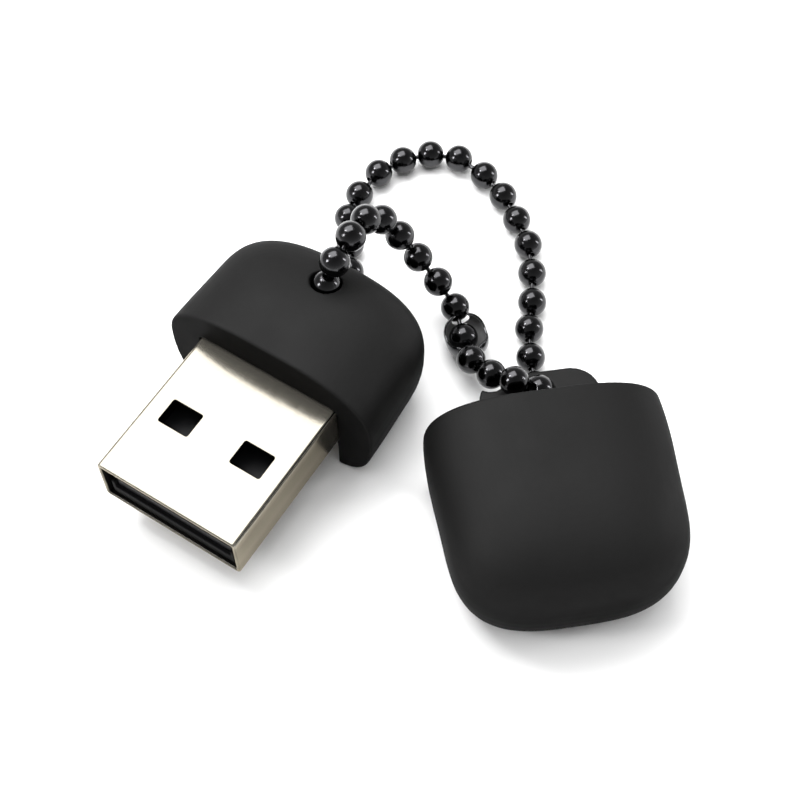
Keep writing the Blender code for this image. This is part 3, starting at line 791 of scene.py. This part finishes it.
def seam_cutter():
    """Narrow wedge along the plug's upper right corner, thinner toward its tip."""
    angle = math.radians(SEAM_ANGLE)
    centre = (PLUG[0] / 2 - PLUG_RADIUS, PLUG_Z + PLUG[1] - PLUG_RADIUS)
    out = Vector((math.cos(angle), 0.0, math.sin(angle)))
    across = Vector((-math.sin(angle), 0.0, math.cos(angle)))
    bm = bmesh.new()
    rings = []
    for y, half in SEAM:
        middle = Vector((centre[0], y, centre[1]))
        corners = ((-SEAM_DEPTH, -half), (-SEAM_DEPTH, half), (SEAM_DEPTH, half), (SEAM_DEPTH, -half))
        rings.append([bm.verts.new(middle + out * (PLUG_RADIUS + reach) + across * side)
                      for reach, side in corners])
    loft(bm, rings)
    bm.faces.new(rings[0])
    bm.faces.new(rings[-1])
    return bm


def node_box(node):
    """A CAD node's lowest and highest corners in mm in the drive's frame."""
    return [DRIVE_FRAME.inverted() @ (corner / MM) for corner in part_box(node)]


def make_carrier():
    """Plastic tray of the plug: a U that holds the board, with softened edges."""
    low, high = node_box("plug_tray")
    board_low, board_high = node_box("circuit_board")
    channel = box((board_low.x - BOARD_FIT, low.y - 1, board_low.z - BOARD_FIT),
                  (board_high.x + BOARD_FIT, high.y + 1, high.z + 1))
    window = box((*CARRIER_WINDOW[0], low.z - 1), (*CARRIER_WINDOW[1], board_low.z))
    mesh = shaped(box(low, high), (channel, window), bevel=0.08)
    thing = piece("plug_carrier", mesh, DRIVE_FRAME, PLASTIC)
    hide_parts("plug_tray")
    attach(thing, "drive")


def make_small_parts():
    """Contacts with round corners, a drawn crystal can, and blocks with tinned ends."""
    rounded = [(f"contact_{end}", f"pad_{end}", 0.3, 0.05, GOLD, "gold")
               for end in ("power", "data_minus", "data_plus", "ground")]
    rounded.append(("crystal", "crystal_can", 0.6, 0.15, TIN, "steel"))
    for node, name, corner, bevel, material, slot in rounded:
        low, high = node_box(node)
        outline = rounded_rectangle((low.x, low.y), (high.x, high.y), corner)
        mesh = shaped(prism(outline, low.z, high.z), bevel=bevel)
        thing = piece(name, mesh, DRIVE_FRAME, material)
        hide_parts(node)
        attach(thing, "drive")
    blocks = [(f"capacitor_{n}", CERAMIC, "ceramic") for n in (1, 2, 3, 4)]
    blocks += [(f"resistor_{n}", EPOXY, "chip") for n in (1, 2)]
    tinned = 0.2
    for node, material, slot in blocks:
        low, high = node_box(node)
        mesh = shaped(box(low, high), bevel=0.06)
        thing = piece(node + "_body", mesh, DRIVE_FRAME, material)
        thing.data.materials.append(TIN)
        for face in thing.data.polygons:
            x = (DRIVE_FRAME.inverted() @ (face.center / MM)).x
            if min(x - low.x, high.x - x) < tinned:
                face.material_index = 1
        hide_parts(node)
        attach(thing, "drive")


def repaint():
    """Materials of the CAD nodes that stay."""
    for node, material in (("core_upper", PLASTIC), ("core_lower", PLASTIC), ("circuit_board", MASK),
                           ("flash_chip", EPOXY), ("controller_chip", EPOXY)):
        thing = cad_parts[node]
        thing.data.materials.clear()
        thing.data.materials.append(material)


# ---------------------------------------------------------------- chain

def ball_profile(steps=20):
    """Ball with a curled hole at each pole, closed off a little way in."""
    edge = math.asin(BALL_HOLE * 1.25 / BALL_RADIUS)
    outer = []
    for i in range(steps + 1):
        angle = edge + (math.pi - 2 * edge) * i / steps
        outer.append((BALL_RADIUS * math.sin(angle), BALL_RADIUS * math.cos(angle)))
    rim = outer[0][1]
    lip = [(0.0, rim - 0.3), (BALL_HOLE, rim - 0.3), (BALL_HOLE, rim - 0.1),
           (BALL_HOLE * 1.08, rim - 0.02)]
    return lip + outer + [(r, -z) for r, z in reversed(lip)]


def add_ball(bm, at, direction):
    return turned(bm, ball_profile(), pointing(at, direction), 36, dent=BALL_SEAM)


def add_link(bm, start, end):
    """Wire between two balls, its headed ends just inside them. Gives its near and far halves."""
    run = end - start
    reach = BALL_RADIUS * LINK_START
    length = run.length - 2 * reach
    head, neck, middle = LINK_RADII
    profile = [(0.0, 0.0), (head, 0.0), (neck, length * 0.25), (middle, length * 0.5)]
    profile += [(r, length - z) for r, z in reversed(profile[:-1])]
    made = turned(bm, profile, pointing(start + run.normalized() * reach, run), 12)
    near = [v for v in made if (v.co - start).length < run.length / 2 - 1e-6]
    return near, [v for v in made if v not in near]


def beads_of(route, stretches):
    """Middles of the balls along a route."""
    line, along = smooth_line(route)
    marks = [stretches[0][0]]
    for start, end, count in stretches:
        marks += [start + (end - start) * (k + 1) / count for k in range(count)]
    return [place_along(line, along, mark) for mark in marks]


def strand(name, beads, before, after, weights):
    """A run of balls and links on one mesh. before and after are the neighbours it links to.

    A ball's weight is 0 where it stays with the drive and 1 where it moves with the chain.
    """
    bm = bmesh.new()
    layer = bm.verts.layers.float.new("bead_weight")
    chain = [before, *beads, after] if before else [*beads, after]
    first = 1 if before else 0
    for i, at in enumerate(beads):
        back, ahead = chain[i + first - 1] if i + first else at, chain[i + first + 1]
        direction = (ahead - back) if back != at else (ahead - at)
        for vertex in add_ball(bm, at, direction):
            vertex[layer] = weights[i]
    ends = [weights[0], *weights, weights[-1]] if before else [*weights, weights[-1]]
    for i in range(len(chain) - 1):
        near, far = add_link(bm, chain[i], chain[i + 1])
        for vertex in near:
            vertex[layer] = ends[i]
        for vertex in far:
            vertex[layer] = ends[i + 1]
    thing = piece(name, to_mesh(bm, name), DRIVE_FRAME, NICKEL, 45.0)
    mesh = thing.data
    kept = [0.0] * len(mesh.vertices)
    mesh.attributes["bead_weight"].data.foreach_get("value", kept)
    mesh.attributes.remove(mesh.attributes["bead_weight"])
    if min(weights) == 1.0:
        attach(thing, "chain")
        return thing
    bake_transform(thing, "drive", "chain", start=(0.0, 0.0, 0.0), end=(0.0, 0.0, 1.0))
    mesh.attributes["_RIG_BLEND"].data.foreach_set("value", kept)
    return thing


def share_of_swing(distance, near, far):
    """0 up to near and 1 from far on, so that each ball slips past the last by the same amount."""
    return math.log(min(far, max(near, distance)) / near) / math.log(far / near)


def path_of(route, step=1.1):
    """Evenly spaced points of a route, in metres in the row frame."""
    line, along = smooth_line(route)
    count = round(along[-1] / step)
    places = [place_along(line, along, along[-1] * k / count) for k in range(count + 1)]
    return [tuple(DRIVE_FRAME @ p * MM) for p in places], along[-1] * MM


def make_chain():
    """Both strands with the clasp and its ball."""
    rear = beads_of(REAR_ROUTE, REAR_STRETCHES)
    front = beads_of(FRONT_ROUTE, FRONT_STRETCHES)
    weights = []
    for i, at in enumerate(rear):
        rigid = i < ARCH_BALLS or at.z > ARCH_Z
        weights.append(1.0 if rigid else share_of_swing((at.xy - Vector(HOLE)).length, *SWING_REACH))
    rear_strand = strand("rear_chain", rear, CLASP_BALL, front[0], weights)
    front_strand = strand("front_chain", front, None, CLASP_BALL, [1.0] * len(front))
    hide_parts("chain_rear")
    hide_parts("chain_front")
    clasp, seated = make_clasp()
    path, length = path_of(REAR_ROUTE)
    path, length = path_of(FRONT_ROUTE)


def make_clasp():
    """Cup of rolled sheet, open above, with a neck at each end and a ball snapped into it."""
    start, end = CLASP_ENDS
    axis = (end - start).normalized()
    half = (end - start).length / 2
    middle = (start + end) / 2
    up = Vector((0.0, 0.0, 1.0))
    side = axis.cross(up)
    bm = bmesh.new()
    rows = []
    length_steps, round_steps = CLASP_STEPS
    for i in range(length_steps + 1):
        share = -1 + 2 * i / length_steps
        radius = CLASP_RADIUS * (1 - CLASP_NECK[0] * abs(share) ** CLASP_NECK[1])
        opening = math.radians(CLASP_OPENING[0] - CLASP_OPENING[1] * abs(share) ** CLASP_OPENING[2])
        row = []
        for k in range(round_steps + 1):
            angle = opening + (2 * math.pi - 2 * opening) * k / round_steps
            row.append(bm.verts.new(middle + axis * half * share
                                    + radius * (math.cos(angle) * up + math.sin(angle) * side)))
        rows.append(row)
    loft(bm, rows, closed_rings=False)
    work = link_up(bpy.data.objects.new("work", to_mesh(bm, "work")))
    work.data.materials.append(CLASP_NICKEL)
    work.data.materials.append(CLASP_INSIDE_PAINTED_LIGHT)
    sheet = work.modifiers.new("sheet", "SOLIDIFY")
    sheet.thickness = CLASP_SHEET
    sheet.offset = -1.0
    # painted reflection: the inner side of the sheet gets the lighter grey
    sheet.material_offset = 1
    edge = work.modifiers.new("edge", "BEVEL")
    edge.width = CLASP_EDGE
    edge.segments = 3
    edge.limit_method = "ANGLE"
    edge.angle_limit = math.radians(60)
    bpy.context.view_layer.update()
    graph = bpy.context.evaluated_depsgraph_get()
    mesh = bpy.data.meshes.new_from_object(work.evaluated_get(graph))
    bpy.data.objects.remove(work, do_unlink=True)
    sides = [face.material_index for face in mesh.polygons]
    clasp = piece("clasp", mesh, DRIVE_FRAME, CLASP_NICKEL, 50.0)
    clasp.data.materials.append(CLASP_INSIDE_PAINTED_LIGHT)
    for face, inside in zip(clasp.data.polygons, sides):
        face.material_index = inside
    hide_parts("chain_connector")
    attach(clasp, "chain")
    ball = bmesh.new()
    add_ball(ball, CLASP_BALL, axis)
    seated = piece("clasp_ball", to_mesh(ball, "clasp_ball"), DRIVE_FRAME, NICKEL, 45.0)
    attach(seated, "chain")
    return clasp, seated


# ---------------------------------------------------------------- studio

def around(azimuth, elevation, distance):
    """A point seen from the subject's middle, in mm."""
    a, e = math.radians(azimuth), math.radians(elevation)
    return Vector((math.sin(a) * math.cos(e), -math.cos(a) * math.cos(e), math.sin(e))) * distance


def aim(thing, at, target):
    thing.location = at * MM
    thing.rotation_euler = (target - at).to_track_quat("-Z", "Y").to_euler()
    return link_up(thing)


def make_camera():
    data = bpy.data.cameras.new("camera")
    data.lens = CAMERA_LENS
    data.sensor_width = 36.0
    data.clip_start = 0.002
    data.clip_end = 10.0
    camera = aim(bpy.data.objects.new("camera", data), CAMERA_AT, CAMERA_TARGET)
    bpy.context.scene.camera = camera


def area_light(name, azimuth, elevation, distance, size, radiance, in_gloss):
    """A rectangular light aimed at the subject. radiance is its own brightness, where white is 1."""
    data = bpy.data.lights.new(name, "AREA")
    data.shape = "RECTANGLE"
    data.size, data.size_y = size[0] * MM, size[1] * MM
    data.energy = radiance * math.pi * data.size * data.size_y
    light = aim(bpy.data.objects.new(name, data), around(azimuth, elevation, distance), LIGHT_TARGET)
    light.visible_glossy = in_gloss


def make_lights():
    """Soft boxes, and a world that is pale at the floor and dim overhead."""
    for name, values in LIGHTS.items():
        area_light(name, *values)
    world = bpy.data.worlds.new("studio")
    bpy.context.scene.world = world
    world.use_nodes = True
    tree = world.node_tree
    where = tree.nodes.new("ShaderNodeTexCoord")
    split = tree.nodes.new("ShaderNodeSeparateXYZ")
    ramp_node = tree.nodes.new("ShaderNodeValToRGB")
    tree.links.new(where.outputs["Generated"], split.inputs["Vector"])
    tree.links.new(split.outputs["Z"], ramp_node.inputs["Fac"])
    tree.links.new(ramp_node.outputs["Color"], tree.nodes["Background"].inputs["Color"])
    stops = ramp_node.color_ramp.elements
    stops.new(WORLD_GREYS[1][0])
    for stop, (place, grey) in zip(stops, WORLD_GREYS):
        stop.position = place
        stop.color = (grey, grey, grey, 1.0)


def make_floor():
    """A pale round table top, large enough to be the background and evenly bright to its edge."""
    bm = bmesh.new()
    bmesh.ops.create_circle(bm, cap_ends=True, segments=96, radius=FLOOR_RADIUS)
    mesh = to_mesh(bm, "floor")
    mesh.transform(Matrix.Scale(MM, 4) @ Matrix.Translation((0.0, 0.0, FLOOR_Z)))
    material, tree, shader = shader_of("table", (0.93, 0.93, 0.93), 0.7)
    shader.inputs["Specular IOR Level"].default_value = 0.2
    at = millimetres(tree)
    cloud = noise(tree, at, 0.02, 3.0)
    tint(tree, cloud, (0.925, 0.925, 0.925), (0.945, 0.945, 0.945), shader)
    reach = tree.nodes.new("ShaderNodeVectorMath")
    reach.operation = "LENGTH"
    tree.links.new(at, reach.inputs[0])
    glow = tree.nodes.new("ShaderNodeMapRange")
    glow.interpolation_type = "SMOOTHSTEP"
    glow.inputs["From Min"].default_value = FLOOR_LIT[0]
    glow.inputs["From Max"].default_value = FLOOR_LIT[1]
    glow.inputs["To Max"].default_value = FLOOR_LIT[2]
    tree.links.new(reach.outputs["Value"], glow.inputs["Value"])
    tree.links.new(glow.outputs["Result"], shader.inputs["Emission Strength"])
    shader.inputs["Emission Color"].default_value = (1.0, 1.0, 1.0, 1.0)
    mesh.materials.append(material)
    link_up(bpy.data.objects.new("floor", mesh))


make_camera()
make_chain()
make_drive_cover()
make_cap_cover()
make_cap_mouth()
make_plug_case()
make_carrier()
make_small_parts()
repaint()
make_lights()
make_floor()
bpy.context.scene.view_settings.view_transform = "Standard"
bpy.context.scene.view_settings.look = "None"
